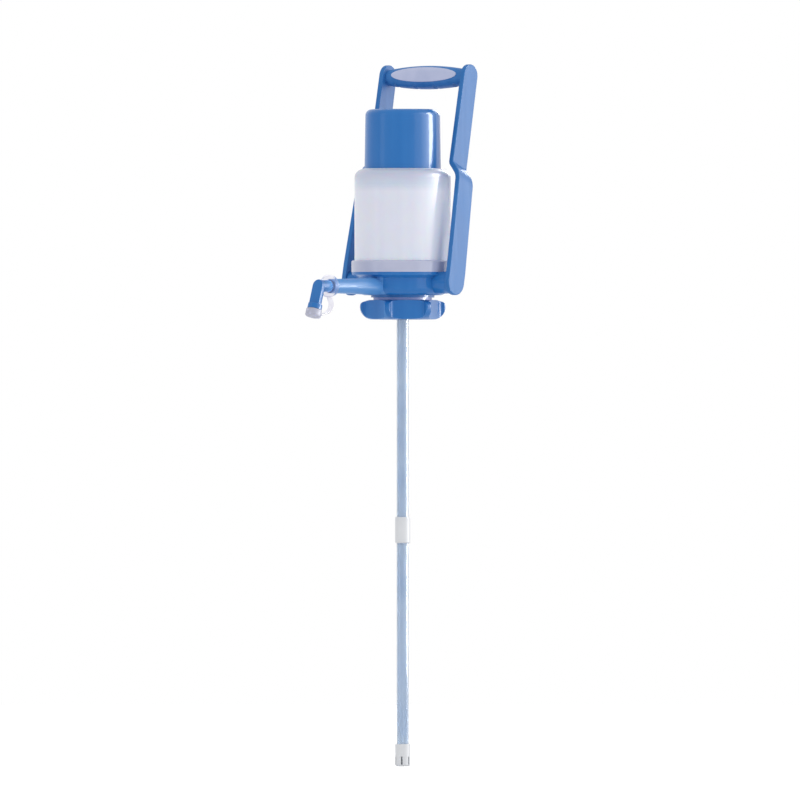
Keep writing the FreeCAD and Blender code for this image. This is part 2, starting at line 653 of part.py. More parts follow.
# ---- valves and springs ----------------------------------------------------
def valve_disc(port_circle, seat_z, plate_thickness):
    """Rubber-faced disc under its seat, with a stem and a knob above the plate."""
    head_top = seat_z - VALVE_SEAT_GAP
    knob_z = seat_z + plate_thickness + VALVE_SPRING_HEIGHT
    head_radius = port_circle + VALVE_PORT_RADIUS + VALVE_HEAD_LAP
    return turned([
        (0, head_top - VALVE_HEAD_THICKNESS, 0),
        (head_radius, head_top - VALVE_HEAD_THICKNESS, VALVE_HEAD_EDGE), (head_radius, head_top, 0),
        (VALVE_STEM_RADIUS, head_top, 0), (VALVE_STEM_RADIUS, knob_z, 0), (VALVE_KNOB_RADIUS, knob_z, 0),
        (VALVE_KNOB_RADIUS - VALVE_KNOB_TAPER, knob_z + VALVE_KNOB_HEIGHT, 0),
        (0, knob_z + VALVE_KNOB_HEIGHT, 0),
    ])


def valve_spring(plate_top):
    coil_radius = (VALVE_STEM_RADIUS + VALVE_KNOB_RADIUS) / 2
    top = plate_top + VALVE_SPRING_HEIGHT
    return coil(coil_radius, VALVE_SPRING_WIRE, plate_top, top, VALVE_SPRING_TURNS)


def intake_valve_seat():
    plate = post(SEAT_RADIUS, 0, 0, SEAT_LOW_Z, SEAT_TOP_Z)
    screw_hole = post(SCREW_RADIUS, CAP_POST_CIRCLE, 0, SEAT_LOW_Z - OVERCUT, SEAT_TOP_Z + OVERCUT)
    holes = valve_holes(INTAKE_PORT_CIRCLE, SEAT_LOW_Z, SEAT_TOP_Z)
    return plate.cut(holes + copies(screw_hole, CAP_POSTS))


def cap_screws():
    places = [on_circle(CAP_POST_CIRCLE, 360.0 * i / CAP_POSTS) for i in range(CAP_POSTS)]
    length = SEAT_THICKNESS + CAP_SCREW_BITE
    return Part.makeCompound([screw(x, y, SEAT_LOW_Z, UP, length) for x, y in places])


def bellows():
    """Folded rubber tube between the valve plate and the intake valve's seat."""
    low, high = PLATE_TOP_Z, SEAT_LOW_Z
    step = (high - low - 2 * BELLOWS_END) / (2 * BELLOWS_FOLDS)
    outer = [(BELLOWS_RADIUS, low), (BELLOWS_RADIUS, low + BELLOWS_END)]
    for i in range(1, 2 * BELLOWS_FOLDS):
        radius = BELLOWS_RADIUS - (BELLOWS_FOLD if i % 2 else 0)
        outer.append((radius, low + BELLOWS_END + step * i))
    outer += [(BELLOWS_RADIUS, high - BELLOWS_END), (BELLOWS_RADIUS, high)]
    inner = [(radius - BELLOWS_WALL, z) for radius, z in reversed(outer)]
    return turned([(r, z, 0) for r, z in outer + inner])


def return_spring():
    return coil(SPRING_RADIUS, SPRING_WIRE, PLATE_TOP_Z, SEAT_LOW_Z, SPRING_TURNS)


# ---- housing and cap -------------------------------------------------------
def pump_housing():
    """Straight tube with a thin tongue round its top, which centres the shoulder."""
    foot_bore = HOUSING_BORE - HOUSING_FOOT_REACH
    return turned([
        (foot_bore, HOUSING_FOOT_Z, 0), (HOUSING_RADIUS, HOUSING_FOOT_Z, 0),
        (HOUSING_RADIUS, HOUSING_SEAM_Z, 0), (HOUSING_LAP_RADIUS, HOUSING_SEAM_Z, 0),
        (HOUSING_LAP_RADIUS, HOUSING_LAP_TOP_Z, 0), (HOUSING_BORE, HOUSING_LAP_TOP_Z, 0),
        (HOUSING_BORE, PLATE_LOW_Z, 0), (foot_bore, PLATE_LOW_Z, 0),
    ])


def housing_shoulder():
    """Rounded top of the housing, which keeps the cap's guide ring in."""
    mouth = CAP_RADIUS + CAP_MOUTH_CLEARANCE
    lap_bore = HOUSING_LAP_RADIUS + ASSEMBLY_CLEARANCE
    lap_end = HOUSING_LAP_TOP_Z + ASSEMBLY_CLEARANCE
    return turned([
        (lap_bore, HOUSING_SEAM_Z, 0), (HOUSING_RADIUS, HOUSING_SEAM_Z, 0),
        (HOUSING_RADIUS, HOUSING_TOP_Z, HOUSING_SHOULDER), (mouth, HOUSING_TOP_Z, 0),
        (mouth, HOUSING_ROOF_Z, 0), (HOUSING_BORE, HOUSING_ROOF_Z, HOUSING_SHOULDER - HOUSING_WALL),
        (HOUSING_BORE, lap_end, 0), (lap_bore, lap_end, 0),
    ])


def housing_trim_ring():
    inner = HOUSING_RADIUS + ASSEMBLY_CLEARANCE
    top = FLANGE_TOP_Z + TRIM_RING_HEIGHT
    return turned([
        (inner, FLANGE_TOP_Z, 0), (TRIM_RING_RADIUS, FLANGE_TOP_Z, 0),
        (TRIM_RING_RADIUS, top - TRIM_RING_CHAMFER, 0), (TRIM_RING_RADIUS - TRIM_RING_CHAMFER, top, 0),
        (inner, top, 0),
    ])


def press_cap():
    roof = CAP_TOP_Z - CAP_ROOF
    shell = turned([
        (CAP_RADIUS - CAP_WALL, CAP_SKIRT_Z, 0), (CAP_RADIUS, CAP_SKIRT_Z, 0),
        (CAP_RADIUS, HOUSING_TOP_Z, 0),
        (CAP_TOP_RADIUS, CAP_TOP_Z, CAP_EDGE), (0, CAP_TOP_Z, 0), (0, roof, 0),
        (CAP_TOP_RADIUS - CAP_WALL, roof, CAP_EDGE - CAP_WALL), (CAP_RADIUS - CAP_WALL, HOUSING_TOP_Z, 0),
    ])
    screw_post = post(CAP_POST_RADIUS, CAP_POST_CIRCLE, 0, SEAT_TOP_Z, roof + CAP_ROOF / 2)
    bore = post(SCREW_RADIUS, CAP_POST_CIRCLE, 0, SEAT_LOW_Z, SEAT_TOP_Z + CAP_SCREW_BITE)
    cap = joined([shell] + copies(screw_post, CAP_POSTS))
    return cap.cut(copies(bore, CAP_POSTS))


def cap_guide_ring():
    outer = HOUSING_BORE - GUIDE_CLEARANCE
    collar = CAP_RADIUS + GUIDE_COLLAR_WALL
    return turned([
        (CAP_RADIUS, CAP_SKIRT_Z, 0), (outer, CAP_SKIRT_Z, 0), (outer, CAP_SKIRT_Z + GUIDE_FLANGE, 0),
        (collar, CAP_SKIRT_Z + GUIDE_FLANGE, 0), (collar, GUIDE_TOP_Z, 0), (CAP_RADIUS, GUIDE_TOP_Z, 0),
    ])


# ---- water way -------------------------------------------------------------
def riser_elbow():
    top = V(0, 0, SPOUT_Z)
    socket_end = V(0, -DRUM_RADIUS - SPOUT_SOCKET, SPOUT_Z)
    bottom = V(0, 0, NOZZLE_BOTTOM_Z)
    corner = Part.makeSphere(PIPE_RADIUS, top)
    solid = joined([rod(PIPE_RADIUS, bottom, top), corner, rod(PIPE_RADIUS, top, socket_end)])
    upward = rod(WATERWAY_RADIUS, along(bottom, UP, -OVERCUT), top)
    outward = rod(WATERWAY_RADIUS, top, along(socket_end, FRONT, OVERCUT))
    return solid.cut([upward, Part.makeSphere(WATERWAY_RADIUS, top), outward])


def dip_tube(high, low):
    return ring(DIP_TUBE_RADIUS, PIPE_RADIUS, low, high)


def tube_coupling():
    half = COUPLING_LENGTH / 2
    stop = COUPLING_STOP / 2
    outer = DIP_TUBE_RADIUS + COUPLING_WALL
    return turned([
        (DIP_TUBE_RADIUS, COUPLING_Z - half, 0), (outer, COUPLING_Z - half, COUPLING_WALL / 2),
        (outer, COUPLING_Z + half, COUPLING_WALL / 2), (DIP_TUBE_RADIUS, COUPLING_Z + half, 0),
        (DIP_TUBE_RADIUS, COUPLING_Z + stop, 0), (PIPE_RADIUS, COUPLING_Z + stop, 0),
        (PIPE_RADIUS, COUPLING_Z - stop, 0), (DIP_TUBE_RADIUS, COUPLING_Z - stop, 0),
    ])


def foot_strainer():
    low = -DIP_TUBE_REACH - STRAINER_BELOW
    top = low + STRAINER_LENGTH
    outer = DIP_TUBE_RADIUS + STRAINER_WALL
    cup = turned([
        (0, low, 0), (outer, low, STRAINER_WALL), (outer, top, 0), (DIP_TUBE_RADIUS, top, 0),
        (DIP_TUBE_RADIUS, -DIP_TUBE_REACH, 0), (PIPE_RADIUS, -DIP_TUBE_REACH, 0),
        (PIPE_RADIUS, low + STRAINER_WALL, 0), (0, low + STRAINER_WALL, 0),
    ])
    slot = Part.makeBox(outer + OVERCUT, STRAINER_SLOT_WIDTH, STRAINER_SLOT_HEIGHT)
    slot.translate(V(0, -STRAINER_SLOT_WIDTH / 2, low + STRAINER_WALL))
    return cup.cut(copies(slot, STRAINER_SLOTS))


# ---- spout -----------------------------------------------------------------
def spout_point(distance):
    """Point on the spout's axis at a distance in front of the pump's axis."""
    return along(SPOUT_AXIS_START, FRONT, distance)


def wall_spigot():
    """The round root of the spout, which passes through the drum's wall."""
    inner = spout_point(CAVITY_RADIUS - SPOUT_SPIGOT_PROUD)
    return rod(SPOUT_WALL_SPIGOT, inner, spout_point(DRUM_RADIUS + OVERCUT))


def spout_tube():
    root = CAVITY_RADIUS - DRUM_WALL
    length = SPOUT_REACH - root
    cone = Part.makeCone(SPOUT_ROOT_RADIUS, SPOUT_TIP_RADIUS, length, spout_point(root), FRONT)
    solid = joined([cone.cut(base_outside()), wall_spigot()])
    socket = rod(PIPE_RADIUS, spout_point(root), spout_point(DRUM_RADIUS + SPOUT_SOCKET))
    way = rod(WATERWAY_RADIUS, spout_point(root), spout_point(SPOUT_REACH))
    swivel_from = spout_point(SPOUT_REACH - SWIVEL_LENGTH - SWIVEL_END_GAP)
    swivel = rod(SWIVEL_RADIUS + SWIVEL_CLEARANCE, swivel_from, spout_point(SPOUT_REACH + OVERCUT))
    return solid.cut([socket, way, swivel])


def tether_ring():
    start = SPOUT_REACH + TETHER_RING_GAP
    end = start + TETHER_RING_THICKNESS
    disc = rod(TETHER_RING_RADIUS, spout_point(start), spout_point(end))
    hole_radius = TETHER_NECK_RADIUS + ASSEMBLY_CLEARANCE
    return disc.cut(rod(hole_radius, spout_point(start - OVERCUT), spout_point(end + OVERCUT)))


def leg_point(distance):
    """Point on the elbow leg's axis at a distance below the corner."""
    return along(ELBOW_CORNER, LEG_DOWN, distance)


def elbow_pipe(shoulder):
    """Round pipe from the tether ring's side down to the lip, shaved off inside the panel."""
    pipe = joined([
        rod(ELBOW_PIPE_RADIUS, spout_point(shoulder), ELBOW_CORNER),
        Part.makeSphere(ELBOW_PIPE_RADIUS, ELBOW_CORNER),
        rod(ELBOW_PIPE_RADIUS, ELBOW_CORNER, leg_point(ELBOW_LIP_FROM)),
    ])
    shaved_from = along(ELBOW_CORNER, LEG_FRONT, ELBOW_PANEL_FRONT - ELBOW_PANEL_EDGE)
    return pipe.cut(rod(2 * ELBOW_LIP_FROM, shaved_from, along(shaved_from, LEG_FRONT, ELBOW_PIPE_RADIUS)))


def elbow_panel():
    """The flat front of the leg, which ends in an arch above the corner."""
    across = SIDE * ELBOW_PANEL_HALF_WIDTH
    right, left = ELBOW_CORNER + across, ELBOW_CORNER - across
    foot = LEG_DOWN * ELBOW_LIP_FROM
    outline = Part.Wire([
        Part.Arc(left, along(ELBOW_CORNER, LEG_DOWN, -ELBOW_PANEL_HALF_WIDTH), right).toShape(),
        Part.makePolygon([right, right + foot, left + foot, left]),
    ])
    panel = Part.Face(outline).extrude(LEG_FRONT * ELBOW_PANEL_FRONT)
    front_edges = [
        edge for edge in panel.Edges
        if (edge.CenterOfMass - ELBOW_CORNER).dot(LEG_FRONT) > ELBOW_PANEL_FRONT - TINY
        and down_leg(edge) < ELBOW_LIP_FROM - TINY
    ]
    return panel.makeFillet(ELBOW_PANEL_EDGE, front_edges)


def down_leg(edge):
    """How far below the elbow's corner an edge's middle lies, along the leg."""
    return (edge.CenterOfMass - ELBOW_CORNER).dot(LEG_DOWN)


def spout_elbow():
    neck_from = SPOUT_REACH + TETHER_RING_GAP
    shoulder = neck_from + TETHER_RING_THICKNESS + TETHER_RING_GAP
    mouth = ELBOW_LIP_END + ELBOW_SPIGOT_LENGTH
    swivel_end = SPOUT_REACH - SWIVEL_LENGTH
    solid = joined([
        rod(SWIVEL_RADIUS, spout_point(swivel_end), spout_point(neck_from)),
        rod(TETHER_NECK_RADIUS, spout_point(neck_from), spout_point(shoulder)),
        elbow_pipe(shoulder),
        elbow_panel(),
        rod(ELBOW_LIP_RADIUS, leg_point(ELBOW_LIP_FROM), leg_point(ELBOW_LIP_END)),
        rod(ELBOW_SPIGOT_RADIUS, leg_point(ELBOW_LIP_END), leg_point(mouth)),
    ])
    groove_from = SPOUT_REACH - SWIVEL_RING_FROM_TIP - SWIVEL_RING_SECTION / 2
    groove_to = groove_from + SWIVEL_RING_SECTION
    groove = rod(SWIVEL_RADIUS + OVERCUT, spout_point(groove_from), spout_point(groove_to))
    core = rod(SWIVEL_RADIUS - SWIVEL_RING_SECTION, spout_point(swivel_end), spout_point(SPOUT_REACH))
    inward = rod(ELBOW_BORE, spout_point(swivel_end - OVERCUT), ELBOW_CORNER)
    downward = rod(ELBOW_BORE, ELBOW_CORNER, leg_point(mouth + OVERCUT))
    return solid.cut([groove.cut(core), inward, Part.makeSphere(ELBOW_BORE, ELBOW_CORNER), downward])


def spout_o_ring():
    middle = spout_point(SPOUT_REACH - SWIVEL_RING_FROM_TIP)
    section = SWIVEL_RING_SECTION / 2
    return Part.makeTorus(SWIVEL_RADIUS - section, section, middle, FRONT)


def spout_cap():
    end = SPOUT_CAP_FROM + SPOUT_CAP_LENGTH
    cup = rod(SPOUT_CAP_RADIUS, leg_point(SPOUT_CAP_FROM), leg_point(end))
    rim = [edge for edge in cup.Edges if edge.Closed and down_leg(edge) > end - TINY]
    cup = cup.makeFillet(SPOUT_CAP_EDGE, rim)
    tab = Part.makeBox(STRAP_WIDTH, SPOUT_CAP_TAB + SPOUT_CAP_RADIUS, SPOUT_CAP_TAB_THICKNESS)
    tab.translate(V(-STRAP_WIDTH / 2, -SPOUT_CAP_RADIUS, -SPOUT_CAP_TAB_THICKNESS / 2))
    tab.rotate(V(0, 0, 0), SIDE, -ELBOW_LEAN_DEGREES)
    tab.translate(along(strap_end(), LEG_FRONT, SPOUT_CAP_TAB))
    inner = ELBOW_SPIGOT_RADIUS + SPOUT_CAP_PLAY
    hollow = rod(inner, leg_point(SPOUT_CAP_FROM - OVERCUT), leg_point(end - SPOUT_CAP_FLOOR))
    return joined([cup, tab]).cut(hollow)


def strap_end():
    """Where the strap meets the tab behind the spout cap."""
    behind = SPOUT_CAP_RADIUS + SPOUT_CAP_TAB
    return along(leg_point(SPOUT_CAP_FROM + SPOUT_CAP_TAB_FROM), LEG_FRONT, -behind)


def tether_strap():
    ring_middle = SPOUT_REACH + TETHER_RING_GAP + TETHER_RING_THICKNESS / 2
    low = SPOUT_Z - TETHER_RING_RADIUS
    end = along(strap_end(), LEG_FRONT, -STRAP_TO_TAB)
    route = [
        (-ring_middle, low + STRAP_IN_RING, 0),
        (STRAP_BULGE - ring_middle, low - STRAP_SLACK / 2, STRAP_BEND),
        (-STRAP_BULGE / 2 - ring_middle, low - STRAP_SLACK, STRAP_BEND),
        (end.y, end.z, 0),
    ]
    outline = ribbon(route, STRAP_THICKNESS)
    strap = slab(outline, lambda y, z: V(-STRAP_WIDTH / 2, y, z), SIDE * STRAP_WIDTH)
    inside_ring = rod(TETHER_RING_RADIUS, spout_point(SPOUT_REACH), ELBOW_CORNER)
    return strap.cut(inside_ring)


# ---- handle ----------------------------------------------------------------
def leaned(shape):
    """The handle's pieces are drawn upright and turned back about the pivot."""
    shape.rotate(V(0, 0, PIVOT_Z), SIDE, -HANDLE_LEAN_DEGREES)
    return shape


def arm_upright():
    route = [
        (ARM_MIDDLE_X, PIVOT_Z - 2 * ARM_LOW_RADIUS, 0),
        (ARM_MIDDLE_X, PIVOT_Z + ARM_STRAIGHT, ARM_FOOT_BEND),
        (ARM_MIDDLE_X - ARM_WAIST_IN, PIVOT_Z + ARM_WAIST_HEIGHT, ARM_SWEEP_BEND),
        (ARM_UPPER_X, PIVOT_Z + ARM_WAIST_HEIGHT + ARM_KINK_HEIGHT, ARM_KINK_BEND),
        (ARM_UPPER_X, PIVOT_Z + ARM_LENGTH + 2 * ARM_TOP_RADIUS, 0),
    ]
    rear = 2 * ARM_LOW_RADIUS
    drop = rear * ARM_KINK_SLOPE
    outline = ribbon(route, ARM_THICKNESS)
    strip = slab(outline, lambda x, z: V(x, -rear, z + drop), V(0, 2 * rear, -2 * drop))
    tilt = math.asin((ARM_LOW_RADIUS - ARM_TOP_RADIUS) / ARM_LENGTH)
    tangent = V(0, math.cos(tilt), math.sin(tilt))
    low = V(0, 0, PIVOT_Z) + tangent * ARM_LOW_RADIUS
    high = V(0, 0, PIVOT_Z + ARM_LENGTH) + tangent * ARM_TOP_RADIUS
    low_back, high_back = V(0, -low.y, low.z), V(0, -high.y, high.z)
    face = Part.Wire([
        Part.Arc(low_back, V(0, 0, PIVOT_Z - ARM_LOW_RADIUS), low).toShape(),
        Part.LineSegment(low, high).toShape(),
        Part.Arc(high, V(0, 0, PIVOT_Z + ARM_LENGTH + ARM_TOP_RADIUS), high_back).toShape(),
        Part.LineSegment(high_back, low_back).toShape(),
    ])
    return strip.common(Part.Face(face).extrude(SIDE * (2 * ARM_MIDDLE_X)))


def handle_arm():
    arm = arm_upright()
    arm = arm.makeFillet(ARM_EDGE, arm.Edges)
    pin_end = ARM_INNER_X + PIN_IN_ARM
    pin_room = rod(PIN_RADIUS, V(LUG_REACH, 0, PIVOT_Z), V(pin_end, 0, PIVOT_Z))
    return arm.cut([pin_room, tenon(ASSEMBLY_CLEARANCE)])


def tenon(play):
    """The grip's tongue that enters the right arm's inner face."""
    height, depth = GRIP_TENON_HEIGHT + play, GRIP_TENON_DEPTH + play
    block = Part.makeBox(2 * GRIP_TENON_LENGTH + play, depth, height)
    block.translate(V(GRIP_HALF_LENGTH - GRIP_TENON_LENGTH, -depth / 2, grip_middle_z() - height / 2))
    return block


def pivot_pins():
    pins = []
    for side in (1, -1):
        inner = LUG_REACH - PIN_BURIED + ASSEMBLY_CLEARANCE
        start = V(side * inner, 0, PIVOT_Z)
        pins.append(rod(PIN_RADIUS, start, V(side * (ARM_INNER_X + PIN_IN_ARM), 0, PIVOT_Z)))
    return Part.makeCompound(pins)


def grip_middle_z():
    return PIVOT_Z + ARM_LENGTH - GRIP_DROP


def grip_height(x):
    """The grip's height at a place along it: largest in the middle."""
    bulge = 1 - (x / GRIP_HALF_LENGTH) ** 2
    return GRIP_END_HEIGHT + (GRIP_MIDDLE_HEIGHT - GRIP_END_HEIGHT) * bulge


def grip_depth(x):
    """The grip's depth, front to back, at a place along it."""
    bulge = 1 - (x / GRIP_HALF_LENGTH) ** 2
    return GRIP_END_DEPTH + (GRIP_MIDDLE_DEPTH - GRIP_END_DEPTH) * bulge


def grip_section(x, height, depth):
    """Rounded rectangle across the grip at one station."""
    corners = [
        (side_y * depth / 2, grip_middle_z() + side_z * height / 2, GRIP_CORNER)
        for side_y, side_z in ((-1, -1), (1, -1), (1, 1), (-1, 1))
    ]
    return rounded_wire(corners, lambda y, z: V(x, y, z))


def grip_bar(growth):
    """Barrel-shaped bar between the arms; growth is how far it stands out all round."""
    sections = []
    for i in range(GRIP_STATIONS):
        x = GRIP_HALF_LENGTH * (2 * i / (GRIP_STATIONS - 1) - 1)
        sections.append(grip_section(x, grip_height(x) + 2 * growth, grip_depth(x) + 2 * growth))
    return Part.makeLoft(sections, True)


def pad_oval(growth):
    """Oval prism through the grip, where its pads lie."""
    middle = V(0, -GRIP_MIDDLE_DEPTH, grip_middle_z() + PAD_RISE)
    end = along(middle, SIDE, PAD_LENGTH / 2 + growth)
    top = along(middle, UP, PAD_HEIGHT / 2 + growth)
    oval = Part.Wire(Part.Ellipse(end, top, middle).toShape())
    return Part.Face(oval).extrude(V(0, 2 * GRIP_MIDDLE_DEPTH, 0))


def pad_room(growth):
    """The two spaces, front and rear, that the pads fill."""
    oval = pad_oval(growth)
    core = Part.makeBox(PAD_LENGTH * 2, GRIP_MIDDLE_DEPTH - 2 * PAD_SINK, GRIP_MIDDLE_HEIGHT * 2)
    core.translate(V(-PAD_LENGTH, -core.BoundBox.YLength / 2, grip_middle_z() - GRIP_MIDDLE_HEIGHT))
    return oval.cut(core)


def handle_grip():
    bar = grip_bar(0.0).cut(pad_room(ASSEMBLY_CLEARANCE / 2))
    bar = joined([bar, tenon(0.0), mirrored(tenon(0.0))])
    first = -FINGER_PITCH * (FINGER_GROOVES - 1) / 2
    return bar.cut([finger_groove(first + FINGER_PITCH * i) for i in range(FINGER_GROOVES)])


def finger_groove(x):
    """V-shaped cutter across the grip's underside."""
    surface = grip_middle_z() - grip_height(x) / 2
    top = surface + FINGER_GROOVE_DEPTH
    below = surface - FINGER_GROOVE_DEPTH
    left, right = x - FINGER_GROOVE_WIDTH, x + FINGER_GROOVE_WIDTH
    notch = [(x, top, FINGER_GROOVE_CURVE), (right, below, 0), (left, below, 0)]
    reach = GRIP_MIDDLE_DEPTH
    return slab(notch, lambda a, z: V(a, -reach, z), V(0, 2 * reach, 0))


def grip_pad(side):
    """One inlaid pad: side is -1 for the front face and 1 for the rear."""
    pads = grip_bar(PAD_PROUD).common(pad_room(0.0))
    found = [solid for solid in pads.Solids if solid.CenterOfMass.y * side > 0]
    return found[0]


# ---- the whole pump --------------------------------------------------------
def build():
    arm = handle_arm()
    front_pad, rear_pad = grip_pad(-1), grip_pad(1)
    return {
        "neck_plug": neck_plug(),
        "neck_gasket": neck_gasket(),
        "neck_collet": neck_collet(),
        "lock_collar": lock_collar(),
        "base_body": base_body(),
        "base_screws": base_screws(),
        "valve_plate": valve_plate(),
        "housing_seal": housing_seal(),
        "delivery_valve_disc": valve_disc(DELIVERY_PORT_CIRCLE, PLATE_LOW_Z, PLATE_THICKNESS),
        "delivery_valve_spring": valve_spring(PLATE_TOP_Z),
        "pump_housing": pump_housing(),
        "housing_shoulder": housing_shoulder(),
        "housing_trim_ring": housing_trim_ring(),
        "bellows": bellows(),
        "return_spring": return_spring(),
        "press_cap": press_cap(),
        "cap_guide_ring": cap_guide_ring(),
        "intake_valve_seat": intake_valve_seat(),
        "intake_valve_disc": valve_disc(INTAKE_PORT_CIRCLE, SEAT_LOW_Z, SEAT_THICKNESS),
        "intake_valve_spring": valve_spring(SEAT_TOP_Z),
        "cap_screws": cap_screws(),
        "riser_elbow": riser_elbow(),
        "dip_tube_upper": dip_tube(DIP_TUBE_TOP_Z, COUPLING_Z + COUPLING_STOP / 2),
        "tube_coupling": tube_coupling(),
        "dip_tube_lower": dip_tube(COUPLING_Z - COUPLING_STOP / 2, -DIP_TUBE_REACH),
        "foot_strainer": foot_strainer(),
        "spout_tube": spout_tube(),
        "spout_o_ring": spout_o_ring(),
        "tether_ring": tether_ring(),
        "spout_elbow": spout_elbow(),
        "spout_cap": spout_cap(),
        "tether_strap": tether_strap(),
        "pivot_bushes": pivot_bushes(),
        "pivot_pins": leaned(pivot_pins()),
        "handle_arm_right": leaned(arm.copy()),
        "handle_arm_left": leaned(mirrored(arm)),
        "handle_grip": leaned(handle_grip()),
        "grip_pad_front": leaned(front_pad),
        "grip_pad_rear": leaned(rear_pad),
    }


os.makedirs("parts", exist_ok=True)
for name, shape in build().items():
    shape.exportStep(os.path.join("parts", name + ".step"))
    box = shape.BoundBox
    size = f"{box.XLength:6.1f} x {box.YLength:6.1f} x {box.ZLength:6.1f}"
    print(f"{name:24} {size}  solids {len(shape.Solids)}  valid {shape.isValid()}  mm3 {shape.Volume:.1f}")
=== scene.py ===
import json
import math

import bmesh
import bpy
from mathutils import Matrix, Vector


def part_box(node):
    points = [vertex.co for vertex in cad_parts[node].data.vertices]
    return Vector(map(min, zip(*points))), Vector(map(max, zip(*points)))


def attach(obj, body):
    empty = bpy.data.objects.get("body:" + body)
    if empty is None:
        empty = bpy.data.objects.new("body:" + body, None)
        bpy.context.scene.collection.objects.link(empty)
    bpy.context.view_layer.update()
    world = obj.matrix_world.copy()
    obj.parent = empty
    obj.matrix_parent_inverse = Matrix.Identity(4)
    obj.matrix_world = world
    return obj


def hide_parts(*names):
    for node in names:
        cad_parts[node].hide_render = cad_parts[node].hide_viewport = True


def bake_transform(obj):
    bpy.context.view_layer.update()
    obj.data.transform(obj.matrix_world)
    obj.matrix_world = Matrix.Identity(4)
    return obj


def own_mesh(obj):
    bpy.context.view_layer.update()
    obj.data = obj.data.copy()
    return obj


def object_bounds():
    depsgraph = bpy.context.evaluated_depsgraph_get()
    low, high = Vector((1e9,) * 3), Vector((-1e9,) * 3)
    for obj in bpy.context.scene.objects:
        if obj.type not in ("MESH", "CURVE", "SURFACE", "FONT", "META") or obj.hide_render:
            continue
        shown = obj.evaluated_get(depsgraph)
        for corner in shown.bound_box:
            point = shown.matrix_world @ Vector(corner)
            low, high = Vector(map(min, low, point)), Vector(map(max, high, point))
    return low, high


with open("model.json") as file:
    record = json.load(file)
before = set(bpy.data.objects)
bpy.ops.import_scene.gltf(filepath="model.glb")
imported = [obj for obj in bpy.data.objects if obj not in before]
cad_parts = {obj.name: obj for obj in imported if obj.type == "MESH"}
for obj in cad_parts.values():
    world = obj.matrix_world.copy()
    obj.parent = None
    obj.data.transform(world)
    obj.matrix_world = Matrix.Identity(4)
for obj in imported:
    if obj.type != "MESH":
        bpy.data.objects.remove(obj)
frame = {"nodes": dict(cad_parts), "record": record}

# The looks of a press-top hand pump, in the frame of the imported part. Lengths are metres
# where no comment or docstring gives another unit.
MM = 0.001
CAD_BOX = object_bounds()
NODES = frame["nodes"]
RECORD = frame["record"]

# ---- picture: the camera is far off, so the view is all but parallel --------
VIEW_TURN = math.radians(37)
VIEW_DISTANCE = 20.0
VIEW_REACH = 60.0
PICTURE_WIDTH = 0.8
AXIS_RIGHT_OF_MIDDLE = 0.0027
VIEW_HEIGHT = -0.102
SENSOR = 36.0
TOWARDS_CAMERA = Vector((math.sin(VIEW_TURN), -math.cos(VIEW_TURN), 0))
CAMERA_RIGHT = Vector((math.cos(VIEW_TURN), math.sin(VIEW_TURN), 0))

# ---- noise values, or cosines for the edges, that count as none and as full -
DRIFT_SPAN = (0.35, 0.68)
FLOW_SPAN = (0.42, 0.66)
EDGE_SPAN = (0.99, 0.82)
EDGE_BREAK_SPAN = (0.3, 0.6)
SCUFF_SPAN = (0.62, 0.74)

# ---- places where a finish paints light or shade: a coordinate with none of it, one with all of it
SPOUT_WALL_ROOT = (-0.033, -0.043)
SPOUT_WALL_END = (-0.134, -0.128)
SPOUT_WALL_SIDES = (0.0092, 0.0086)
SPOUT_WALL_TOP = (0.0215, 0.0208)
HOUSING_PAINTED_SHADE = (0.106, 0.124)
PAINTED_LIGHT_TINT = 0.75

# ---- pieces, in millimetres and degrees -------------------------------------
MERGE_DISTANCE = 0.001
SHARP_ANGLE = 32
# (radius, height over the top of the housing or the cap)
HOUSING_LIP = ((38.95, -1.2), (40.7, -1.2), (40.7, 0.55), (38.95, 0.55))
GATE_MARK = ((1.1, -0.4), (3.6, -0.4), (3.4, 0.3), (2.0, 0.3), (1.6, 0.05), (1.1, 0.05))
# (how far forward, how far down) of the strap's bends, from where it leaves the ring
TETHER_BENDS = ((-2.6, 4.0), (-3.6, 8.5), (-1.0, 13.6), (4.0, 16.4), (9.5, 17.2))
TETHER_IN_RING = 0.8
TETHER_END_FORWARD = 0.4
TETHER_END_UP = 0.6
TETHER_HALF_WIDTH = 2.6
TETHER_HALF_THICKNESS = 0.62

# ---- studio ----------------------------------------------------------------
AMBIENT = 0.80
BACKDROP = 1.0
FLOOR_COLOUR = (0.86, 0.86, 0.87, 1)
FLOOR_GLOW = 0.45
FLOOR_RADIUS = 4.0
FLOOR_GAP = 0.0003
LAMP_DISTANCE = 1.6
# name, degrees to the camera's right, degrees wide, foot, top, radiance, only in reflections
LAMPS = (
    ("strip_right", 94.5, 15.5, -0.4, 1.2, 30.0, True),
    ("glow_near", 48, 24, -0.4, 1.6, 1.2, False),
    ("glow_right", 73, 26, -0.4, 1.6, 2.4, True),
    ("glow_behind", 120, 30, -0.4, 1.6, 1.2, True),
    ("fill_behind", 120, 30, -0.4, 1.6, 1.1, False),
    ("rear_strip", 160, 22, 0.27, 1.1, 3.5, True),
    ("strip_left", -64, 14, -0.4, 1.2, 1.0, False),
    ("kink_glint", 158, 9, 0.54, 0.72, 12.0, True),
)


def paint(red, green, blue):
    """Linear colour from red, green and blue on the display scale of 0 to 255."""
    def linear(value):
        value /= 255
        return value / 12.92 if value <= 0.04045 else ((value + 0.055) / 1.055) ** 2.4
    return linear(red), linear(green), linear(blue), 1.0


